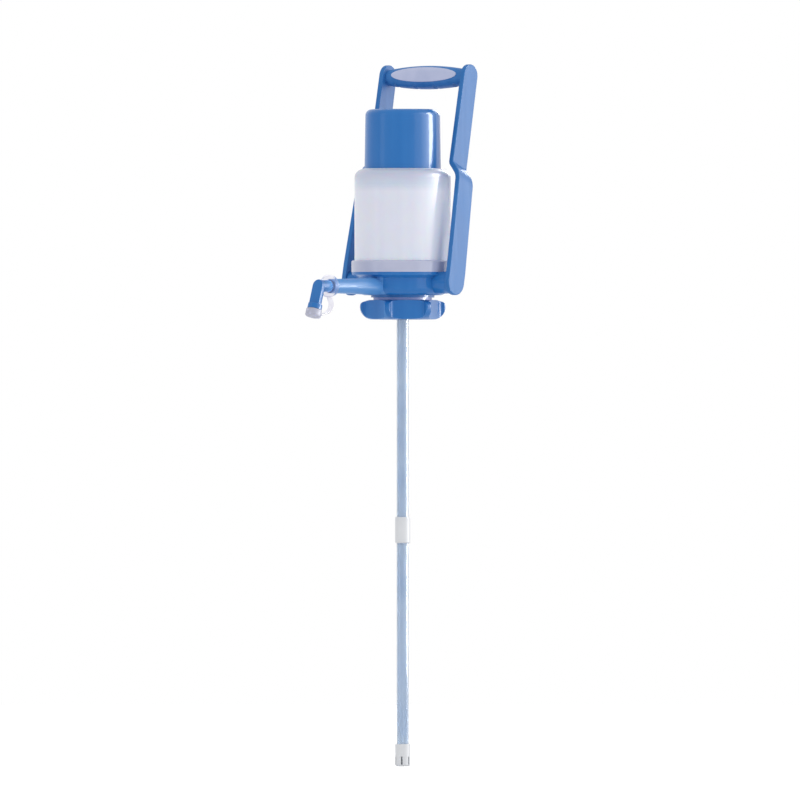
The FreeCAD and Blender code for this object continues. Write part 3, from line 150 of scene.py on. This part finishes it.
# ---- finishes --------------------------------------------------------------
class Finish:
    """One surface, built up layer by layer on a single shader."""

    def __init__(self, name, colour, roughness, sockets=None):
        self.material = bpy.data.materials.new(name)
        self.material.use_nodes = True
        self.tree = self.material.node_tree
        self.surface = self.tree.nodes["Principled BSDF"]
        for socket, value in (sockets or {}).items():
            self.surface.inputs[socket].default_value = value
        self.place = self.add("TexCoord").outputs["Object"]
        self.colour = colour
        self.roughness = roughness
        self.normal = None

    def add(self, kind, inputs=None, **settings):
        """Adds a shader node; an input is a plain value or another node's socket."""
        made = self.tree.nodes.new("ShaderNode" + kind)
        for name, value in settings.items():
            setattr(made, name, value)
        for name, value in (inputs or {}).items():
            if isinstance(value, bpy.types.NodeSocket):
                self.tree.links.new(value, made.inputs[name])
            else:
                made.inputs[name].default_value = value
        return made

    def between(self, value, none, full):
        """0 at none and 1 at full, held at the ends."""
        wiring = {"Value": value, "From Min": none, "From Max": full}
        return self.add("MapRange", wiring).outputs[0]

    def times(self, first, second):
        return self.add("Math", {0: first, 1: second}, operation="MULTIPLY").outputs[0]

    def cloud(self, scale, detail=2.0, stretch=(1, 1, 1)):
        """Soft noise in object space; stretch below 1 draws it out along an axis."""
        where = self.add("Mapping", {"Vector": self.place, "Scale": stretch}).outputs[0]
        return self.add("TexNoise", {"Vector": where, "Scale": scale, "Detail": detail}).outputs[0]

    def along(self, axis):
        """Coordinate along an axis of object space."""
        return self.add("SeparateXYZ", {0: self.place}).outputs[axis]

    def aside(self, axis):
        """Distance to either side along an axis."""
        return self.add("Math", {0: self.along(axis)}, operation="ABSOLUTE").outputs[0]

    def tint(self, amount, colour):
        """Lays another colour over the surface by an amount from 0 to 1."""
        wiring = {0: amount, 6: self.colour, 7: colour}
        self.colour = self.add("Mix", wiring, data_type="RGBA").outputs[2]

    def roughen(self, amount, change):
        """Adds this change of roughness where amount is 1."""
        wiring = {0: amount, 1: change, 2: self.roughness}
        self.roughness = self.add("Math", wiring, operation="MULTIPLY_ADD").outputs[0]

    def mottle(self, colour, scale=26.0, change=0.06):
        """Slow drift of colour and gloss, as in any moulded part."""
        drift = self.between(self.cloud(scale, detail=3.0), *DRIFT_SPAN)
        self.tint(drift, colour)
        self.roughen(drift, change)

    def flow_lines(self, colour, amount, scale=55.0, stretch=(1, 1, 0.05)):
        """Faint streaks drawn along the way that the plastic filled its mould."""
        lines = self.between(self.cloud(scale, stretch=stretch), *FLOW_SPAN)
        self.tint(self.times(lines, amount), colour)

    def edge_wear_and_sheen(self, colour, amount=0.6, radius=0.9, change=0.15):
        """Paler, duller edges, radius in millimetres: wear where hands and the shelf have rubbed,
        and on the grip pads a painted highlight along the rim as well.
        """
        rounded = self.add("Bevel", {"Radius": radius * MM}, samples=4).outputs[0]
        flat = self.add("NewGeometry").outputs["Normal"]
        facing = self.add("VectorMath", {0: rounded, 1: flat}, operation="DOT_PRODUCT")
        edge = self.between(facing.outputs["Value"], *EDGE_SPAN)
        broken = self.between(self.cloud(scale=160.0, detail=4.0), *EDGE_BREAK_SPAN)
        wear_and_sheen = self.times(self.times(edge, broken), amount)
        self.tint(wear_and_sheen, colour)
        self.roughen(wear_and_sheen, change)

    def scuffs(self, amount=0.10, stretch=(1, 0.08, 1)):
        """Hairline scratches that only change the gloss."""
        marks = self.between(self.cloud(scale=700.0, detail=3.0, stretch=stretch), *SCUFF_SPAN)
        self.roughen(marks, amount)

    def grain(self, scale, depth, detail=2.0, stretch=(1, 1, 1)):
        """Fine relief of the moulded surface, depth in millimetres."""
        relief = self.cloud(scale, detail, stretch)
        wiring = {"Height": relief, "Distance": depth * MM, "Strength": 1.0}
        self.normal = self.add("Bump", wiring).outputs[0]

    def thin_coat(self, amount, weight):
        """Leaves only this weight of clear coat where amount is 1."""
        coat = self.surface.inputs["Coat Weight"]
        wiring = {"Value": amount, "To Min": coat.default_value, "To Max": weight}
        self.tree.links.new(self.add("MapRange", wiring).outputs[0], coat)

    def done(self):
        """Connects the layers to the shader and gives the material."""
        for socket, value in (
            ("Base Color", self.colour), ("Roughness", self.roughness), ("Normal", self.normal),
        ):
            self.tree.links.new(value, self.surface.inputs[socket])
        return self.material


def blue_plastic():
    finish = Finish("gloss_blue_plastic", paint(28, 108, 182), roughness=0.36, sockets={
        "Specular IOR Level": 0.2, "Coat Weight": 0.5, "Coat Roughness": 0.05, "Coat IOR": 1.36,
    })
    finish.mottle(paint(34, 113, 187))
    finish.flow_lines(paint(46, 120, 192), amount=0.5)
    # Painted sheen: the wall of the spout's tube is tinted paler, standing in for the broad soft
    # light that it reflects. Its coat is also thinner, so it is less glossy than the rest.
    spout_wall_sheen = finish.times(
        finish.between(finish.along("Y"), *SPOUT_WALL_ROOT),
        finish.between(finish.along("Y"), *SPOUT_WALL_END),
    )
    spout_wall_sheen = finish.times(spout_wall_sheen, finish.between(finish.aside("X"), *SPOUT_WALL_SIDES))
    spout_wall_sheen = finish.times(spout_wall_sheen, finish.between(finish.along("Z"), *SPOUT_WALL_TOP))
    finish.tint(finish.times(spout_wall_sheen, PAINTED_LIGHT_TINT), paint(98, 156, 218))
    finish.thin_coat(spout_wall_sheen, weight=0.12)
    finish.edge_wear_and_sheen(paint(104, 156, 212))
    finish.scuffs()
    finish.grain(scale=420.0, depth=0.012)
    return finish.done()


def handle_blue():
    finish = Finish("satin_blue_plastic", paint(44, 110, 178), roughness=0.48, sockets={
        "Specular IOR Level": 0.16, "Coat Weight": 0.09, "Coat Roughness": 0.12, "Coat IOR": 1.4,
    })
    finish.mottle(paint(54, 118, 186))
    finish.flow_lines(paint(70, 128, 194), amount=0.6, scale=90.0, stretch=(1, 1, 0.04))
    finish.edge_wear_and_sheen(paint(116, 164, 218), amount=0.7)
    finish.scuffs(amount=0.08, stretch=(1, 1, 0.06))
    finish.grain(scale=900.0, depth=0.01)
    return finish.done()


def milky_plastic():
    finish = Finish("milky_plastic", paint(232, 229, 242), roughness=0.32, sockets={
        "Coat Weight": 0.3, "Coat Roughness": 0.06,
        "Subsurface Weight": 0.5, "Subsurface Scale": 6 * MM,
    })
    finish.mottle(paint(236, 234, 245), scale=14.0)
    finish.flow_lines(paint(222, 222, 238), amount=0.45, scale=46.0, stretch=(1, 1, 0.02))
    # Painted shade: the top of the housing is tinted greyish blue where the cap's skirt stands
    # close behind the milky wall. The tint stays put when the cap is pressed.
    shoulder = finish.between(finish.along("Z"), *HOUSING_PAINTED_SHADE)
    finish.tint(finish.times(shoulder, PAINTED_LIGHT_TINT), paint(178, 188, 212))
    finish.edge_wear_and_sheen(paint(244, 244, 248), amount=0.5)
    finish.grain(scale=300.0, depth=0.012)
    return finish.done()


def pale_blue():
    finish = Finish("pale_blue_plastic", paint(124, 152, 222), roughness=0.34, sockets={
        "Coat Weight": 0.3, "Coat Roughness": 0.08,
    })
    finish.mottle(paint(138, 164, 228))
    finish.edge_wear_and_sheen(paint(186, 202, 240), amount=0.7)
    finish.grain(scale=500.0, depth=0.012)
    return finish.done()


def grey_plastic():
    finish = Finish("lavender_grey_plastic", paint(168, 174, 202), roughness=0.36, sockets={
        "Coat Weight": 0.5, "Coat Roughness": 0.1,
    })
    finish.mottle(paint(186, 190, 214))
    finish.edge_wear_and_sheen(paint(222, 224, 236), amount=0.7)
    finish.grain(scale=500.0, depth=0.012)
    return finish.done()


def pad_grey():
    finish = Finish("soft_grip_pad", paint(184, 192, 222), roughness=0.55)
    finish.mottle(paint(194, 200, 228), scale=60.0)
    # Painted highlight: the pads' pale rim is partly wear and partly stands in for light along
    # their rolled edges.
    finish.edge_wear_and_sheen(paint(214, 222, 244), amount=0.8, radius=0.6)
    finish.grain(scale=1500.0, depth=0.03, detail=3.0)
    return finish.done()


def clear_soft():
    finish = Finish("soft_clear_plastic", paint(206, 208, 226), roughness=0.5, sockets={
        "Transmission Weight": 0.3, "IOR": 1.45, "Coat Weight": 0.05, "Coat Roughness": 0.2,
    })
    finish.mottle(paint(202, 204, 222), scale=90.0)
    finish.edge_wear_and_sheen(paint(240, 240, 246), amount=0.5, radius=0.5)
    finish.grain(scale=600.0, depth=0.015)
    return finish.done()


def clear_film():
    finish = Finish("clear_film_plastic", paint(244, 244, 250), roughness=0.3, sockets={
        "Transmission Weight": 0.92, "IOR": 1.12,
        "Coat Weight": 0.25, "Coat Roughness": 0.06, "Coat IOR": 1.3,
    })
    finish.mottle(paint(232, 230, 240), scale=90.0)
    finish.edge_wear_and_sheen(paint(214, 212, 226), amount=0.5, radius=0.5)
    finish.grain(scale=600.0, depth=0.01)
    return finish.done()


def tube_clear():
    finish = Finish("clear_tube", paint(206, 220, 236), roughness=0.12, sockets={
        "Transmission Weight": 0.75, "IOR": 1.42, "Coat Weight": 0.4, "Coat Roughness": 0.04,
    })
    finish.mottle(paint(190, 208, 230), scale=30.0, change=0.05)
    finish.flow_lines(paint(224, 234, 246), amount=0.6, scale=320.0, stretch=(1, 1, 0.01))
    finish.grain(scale=200.0, depth=0.02, stretch=(1, 1, 0.05))
    return finish.done()


def inner_white():
    finish = Finish("inner_white_plastic", paint(224, 226, 229), roughness=0.45)
    finish.mottle(paint(214, 217, 222))
    finish.edge_wear_and_sheen(paint(240, 241, 243), amount=0.5)
    finish.grain(scale=700.0, depth=0.015)
    return finish.done()


def rubber_dark():
    finish = Finish("black_rubber", paint(26, 26, 29), roughness=0.62)
    finish.mottle(paint(40, 40, 43), scale=120.0)
    finish.edge_wear_and_sheen(paint(72, 72, 76), amount=0.5, radius=0.3)
    finish.grain(scale=1600.0, depth=0.03, detail=3.0)
    return finish.done()


def rubber_pale():
    finish = Finish("pale_silicone", paint(206, 206, 200), roughness=0.5, sockets={
        "Subsurface Weight": 0.2, "Subsurface Scale": 2 * MM,
    })
    finish.mottle(paint(192, 192, 186), scale=70.0)
    finish.edge_wear_and_sheen(paint(226, 226, 220), amount=0.5, radius=0.5)
    finish.grain(scale=1200.0, depth=0.02, detail=3.0)
    return finish.done()


def steel():
    finish = Finish("stainless_steel", paint(176, 177, 180), roughness=0.26, sockets={
        "Metallic": 1.0,
    })
    finish.mottle(paint(152, 154, 158), scale=200.0)
    finish.edge_wear_and_sheen(paint(214, 214, 216), amount=0.6, radius=0.3)
    finish.grain(scale=1400.0, depth=0.01, stretch=(1, 1, 0.1))
    return finish.done()


FINISHES = {
    made.__name__: made() for made in (
        blue_plastic, handle_blue, milky_plastic, pale_blue, grey_plastic, pad_grey, clear_soft,
        clear_film, tube_clear, inner_white, rubber_dark, rubber_pale, steel,
    )
}
for part in RECORD["subparts"]:
    NODES[part["node"]].material_slots[0].material = FINISHES[part["material_slot"]]


# ---- pieces ----------------------------------------------------------------
def merged_copy(node_name):
    """A node's form as one connected mesh."""
    shape = bmesh.new()
    shape.from_mesh(NODES[node_name].data)
    bmesh.ops.remove_doubles(shape, verts=shape.verts, dist=MERGE_DISTANCE * MM)
    return shape


def piece(name, shape, slot_name, body, replaced=()):
    """Puts a shape in the scene as a finished piece, riding on a body if one is named."""
    mesh = bpy.data.meshes.new(name)
    shape.to_mesh(mesh)
    shape.free()
    mesh.materials.clear()
    mesh.materials.append(FINISHES[slot_name])
    mesh.shade_smooth()
    mesh.set_sharp_from_angle(angle=math.radians(SHARP_ANGLE))
    made = bpy.data.objects.new(name, mesh)
    bpy.context.scene.collection.objects.link(made)
    if body:
        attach(made, body)
    if replaced:
        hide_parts(*replaced)
    return made


def soften(made, width, segments=3, degrees=25):
    """Rounds a piece's edges that are sharper than this many degrees, width in millimetres."""
    rounding = made.modifiers.new("soft_edges", "BEVEL")
    rounding.width = width * MM
    rounding.segments = segments
    rounding.limit_method = "ANGLE"
    rounding.angle_limit = math.radians(degrees)
    rounding.harden_normals = False


def turned(outline, top, rounding, steps=120):
    """Ring spun round Z from a closed outline of (radius, height over top) in millimetres."""
    shape = bmesh.new()
    corners = [
        shape.verts.new((radius * MM, 0, (top + height) * MM)) for radius, height in outline
    ]
    for i, corner in enumerate(corners):
        shape.edges.new((corners[i - 1], corner))
    bmesh.ops.bevel(
        shape, geom=corners, offset=rounding * MM, segments=3,
        affect="VERTICES", profile=0.5, material=-1,
    )
    bmesh.ops.spin(
        shape, geom=shape.verts[:] + shape.edges[:], cent=(0, 0, 0), axis=(0, 0, 1),
        angle=2 * math.pi, steps=steps, use_merge=True,
    )
    bmesh.ops.remove_doubles(shape, verts=shape.verts, dist=MERGE_DISTANCE * MM)
    bmesh.ops.recalc_face_normals(shape, faces=shape.faces)
    return shape


def compressed(made):
    """Gives a spring or bellows a mesh of its own."""
    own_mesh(made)


def inner_works():
    """The bellows and the three springs, each a piece of its own riding on its body."""
    folds = piece("bellows_folds", merged_copy("bellows"), "rubber_pale", "pump_body", ["bellows"])
    soften(folds, width=0.45, segments=2, degrees=15)
    compressed(folds)
    for node_name, body, joint_name in (
        ("return_spring", "pump_body", "cap_press"),
        ("intake_valve_spring", "cap", "intake_valve_lift"),
        ("delivery_valve_spring", "pump_body", "delivery_valve_lift"),
    ):
        coils = piece(node_name + "_coils", merged_copy(node_name), "steel", body, [node_name])
        compressed(coils)


def grip_pads():
    """Soft inlaid pads with rolled edges."""
    for side in ("front", "rear"):
        node_name = "grip_pad_" + side
        pad = piece("soft_pad_" + side, merged_copy(node_name), "pad_grey", "handle", [node_name])
        soften(pad, width=0.4)


def housing_lip():
    """Rolled lip round the housing's mouth, which wipes the cap."""
    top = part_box("housing_shoulder")[1].z / MM
    lip = turned(HOUSING_LIP, top, rounding=0.6)
    piece("housing_mouth_lip", lip, "milky_plastic", "pump_body")


def cap_gate_mark():
    """The small round mark that the mould's gate leaves on the cap."""
    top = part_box("press_cap")[1].z / MM
    mark = turned(GATE_MARK, top, rounding=0.12, steps=48)
    piece("cap_gate_mark", mark, "blue_plastic", "cap")


def strap_along(route):
    """Flat closed strap whose middle follows a route of (y, z), with its width along X."""
    line = bpy.data.curves.new("tether_line", "CURVE")
    line.dimensions = "2D"
    line.fill_mode = "NONE"
    run = line.splines.new("NURBS")
    run.points.add(len(route) - 1)
    for point, (y, z) in zip(run.points, route):
        point.co = (y, z, 0, 1)
    run.order_u = 3
    run.use_endpoint_u = True
    run.resolution_u = 10
    line.extrude = TETHER_HALF_WIDTH * MM
    line.bevel_depth = TETHER_HALF_THICKNESS * MM
    line.bevel_resolution = 4
    flat = bpy.data.objects.new("tether_line", line)
    bpy.context.scene.collection.objects.link(flat)
    evaluated = flat.evaluated_get(bpy.context.evaluated_depsgraph_get())
    mesh = bpy.data.meshes.new_from_object(evaluated)
    bpy.data.objects.remove(flat)
    shape = bmesh.new()
    shape.from_mesh(mesh)
    # The curve lies in its own XY plane: its x, y and z become the scene's Y, Z and X.
    upright = Matrix(((0, 0, 1, 0), (1, 0, 0, 0), (0, 1, 0, 0), (0, 0, 0, 1)))
    bmesh.ops.transform(shape, matrix=upright, verts=shape.verts)
    bmesh.ops.holes_fill(shape, edges=shape.edges, sides=0)
    bmesh.ops.remove_doubles(shape, verts=shape.verts, dist=MERGE_DISTANCE * MM)
    bmesh.ops.recalc_face_normals(shape, faces=shape.faces)
    return shape


def tether():
    """The soft strap between the spout's ring and the little cap."""
    ring_low, ring_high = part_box("tether_ring")
    start = ((ring_low.y + ring_high.y) / 2, ring_low.z + TETHER_IN_RING * MM)
    route = [start]
    for forward, down in TETHER_BENDS:
        route.append((start[0] - forward * MM, start[1] - down * MM))
    strap_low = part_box("tether_strap")[0]
    route.append((strap_low.y - TETHER_END_FORWARD * MM, strap_low.z + TETHER_END_UP * MM))
    strap = piece("tether_strap_soft", strap_along(route), "clear_film", None, ["tether_strap"])
    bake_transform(strap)


inner_works()
grip_pads()
housing_lip()
cap_gate_mark()
tether()


# ---- studio ----------------------------------------------------------------
def straight_ray(tree, other, straight):
    """One value for rays seen directly, in gloss or through clear plastic, another otherwise."""
    path = tree.nodes.new("ShaderNodeLightPath")
    seen = path.outputs["Is Camera Ray"]
    for name in ("Is Glossy Ray", "Is Transmission Ray"):
        either = tree.nodes.new("ShaderNodeMath")
        either.operation = "MAXIMUM"
        tree.links.new(seen, either.inputs[0])
        tree.links.new(path.outputs[name], either.inputs[1])
        seen = either.outputs[0]
    value = tree.nodes.new("ShaderNodeMapRange")
    tree.links.new(seen, value.inputs["Value"])
    value.inputs["To Min"].default_value = other
    value.inputs["To Max"].default_value = straight
    return value.outputs[0]


def studio_floor():
    """Wide pale disc just below the foot strainer, with a glow that lights no matt surface."""
    shape = bmesh.new()
    level = Matrix.Translation((0, 0, CAD_BOX[0].z - FLOOR_GAP))
    bmesh.ops.create_circle(shape, cap_ends=True, radius=FLOOR_RADIUS, segments=64, matrix=level)
    mesh = bpy.data.meshes.new("studio_floor")
    shape.to_mesh(mesh)
    shape.free()
    floor = bpy.data.objects.new("studio_floor", mesh)
    bpy.context.scene.collection.objects.link(floor)
    material = bpy.data.materials.new("studio_floor")
    material.use_nodes = True
    tree = material.node_tree
    tree.nodes.clear()
    output = tree.nodes.new("ShaderNodeOutputMaterial")
    matt = tree.nodes.new("ShaderNodeBsdfDiffuse")
    matt.inputs["Color"].default_value = FLOOR_COLOUR
    glow = tree.nodes.new("ShaderNodeEmission")
    tree.links.new(straight_ray(tree, 0.0, FLOOR_GLOW), glow.inputs["Strength"])
    both = tree.nodes.new("ShaderNodeAddShader")
    tree.links.new(matt.outputs[0], both.inputs[0])
    tree.links.new(glow.outputs[0], both.inputs[1])
    tree.links.new(both.outputs[0], output.inputs["Surface"])
    mesh.materials.append(material)


def backdrop():
    """White all round, a little dimmer as a light than it is to look at."""
    world = bpy.data.worlds.new("white_studio")
    bpy.context.scene.world = world
    world.use_nodes = True
    tree = world.node_tree
    background = tree.nodes["Background"]
    background.inputs["Color"].default_value = (1, 1, 1, 1)
    tree.links.new(straight_ray(tree, AMBIENT, BACKDROP), background.inputs["Strength"])


def soft_light(name, turn, spread, low, high, radiance, gloss_only):
    """A soft box that faces the pump's axis from LAMP_DISTANCE away."""
    angle = math.radians(turn)
    width = 2 * LAMP_DISTANCE * math.tan(math.radians(spread / 2))
    tall = high - low
    lamp = bpy.data.lights.new(name, "AREA")
    lamp.shape = "RECTANGLE"
    lamp.size = width
    lamp.size_y = tall
    lamp.energy = radiance * math.pi * width * tall
    box = bpy.data.objects.new(name, lamp)
    bpy.context.scene.collection.objects.link(box)
    outward = TOWARDS_CAMERA * math.cos(angle) + CAMERA_RIGHT * math.sin(angle)
    box.location = outward * LAMP_DISTANCE
    box.location.z = (low + high) / 2
    inward = Vector((-box.location.x, -box.location.y, 0))
    box.rotation_euler = inward.to_track_quat("-Z", "Y").to_euler()
    box.visible_camera = False
    box.visible_diffuse = not gloss_only
    box.visible_transmission = not gloss_only


def camera():
    """A long lens, level with the middle of the picture."""
    lens = bpy.data.cameras.new("camera")
    lens.sensor_width = SENSOR
    lens.lens = SENSOR * VIEW_DISTANCE / PICTURE_WIDTH
    lens.clip_end = VIEW_REACH
    eye = bpy.data.objects.new("camera", lens)
    bpy.context.scene.collection.objects.link(eye)
    aim = Vector((0, 0, VIEW_HEIGHT)) - CAMERA_RIGHT * AXIS_RIGHT_OF_MIDDLE
    eye.location = aim + TOWARDS_CAMERA * VIEW_DISTANCE
    eye.rotation_euler = (-TOWARDS_CAMERA).to_track_quat("-Z", "Y").to_euler()
    bpy.context.scene.camera = eye


camera()
studio_floor()
backdrop()
for lamp_settings in LAMPS:
    soft_light(*lamp_settings)
bpy.context.scene.view_settings.view_transform = "Standard"
